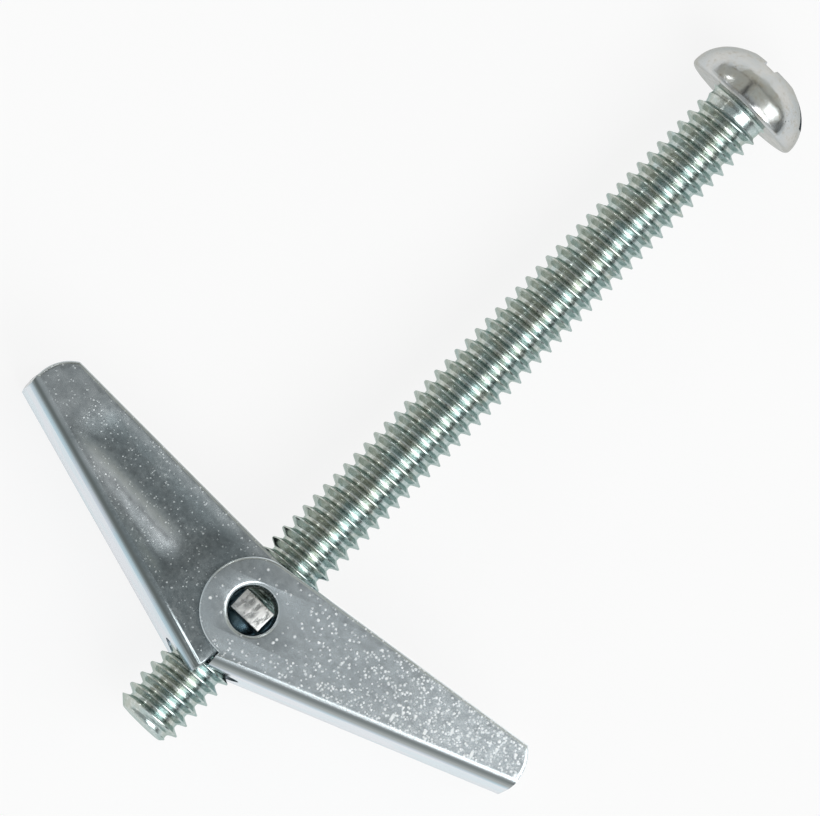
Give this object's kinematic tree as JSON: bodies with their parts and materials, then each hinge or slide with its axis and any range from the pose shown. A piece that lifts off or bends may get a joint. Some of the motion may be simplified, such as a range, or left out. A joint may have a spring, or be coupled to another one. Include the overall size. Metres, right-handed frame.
{
  "type": "spring-wing toggle bolt anchor",
  "caption": "Spring-wing toggle anchor for hollow walls: a domed-head threaded screw carries a trunnion nut whose sprung channel wings fold to pass a hole and open behind the panel.",
  "frame": {"origin": "centre of the head's bearing face, on the screw's axis", "axes": "+Y along the screw from tip to head, +Z along the wings' hinge line and up from the surface the anchor lies on, +X towards the right-hand wing"},
  "size_m": [0.0546, 0.0794, 0.0144],
  "materials": {
    "zinc_screw": "bright zinc plated rolled thread and headed dome, faint blue-green passivate",
    "zinc_nut": "bright zinc plated pressed steel with sheared edges",
    "zinc_wing": "bright zinc plated sheet steel, speckled and lightly scuffed",
    "spring_wire": "bare drawn spring wire"
  },
  "bodies": {
    "screw": {"machine_screw": "zinc_screw"},
    "toggle_nut": {"trunnion_nut": "zinc_nut", "torsion_spring": "spring_wire"},
    "left_wing": {"wing_a": "zinc_wing"},
    "right_wing": {"wing_b": "zinc_wing"}
  },
  "joints": [
    {"name": "thread_travel", "type": "slide", "parent": "screw", "child": "toggle_nut", "axis": [0, 1, 0], "range_m": [-0.00889, 0.03302]},
    {"name": "left_wing_hinge", "type": "hinge", "parent": "toggle_nut", "child": "left_wing", "pos_m": [0, -0.0617, 0], "axis": [0, 0, -1], "range_deg": [0, 79], "stiffness_Nm_per_rad": 0.012, "springref_deg": -57.3, "deforming": ["torsion_spring"]},
    {"name": "right_wing_hinge", "type": "hinge", "parent": "toggle_nut", "child": "right_wing", "pos_m": [0, -0.0617, 0], "axis": [0, 0, 1], "range_deg": [0, 71], "stiffness_Nm_per_rad": 0.012, "springref_deg": -57.3}
  ]
}
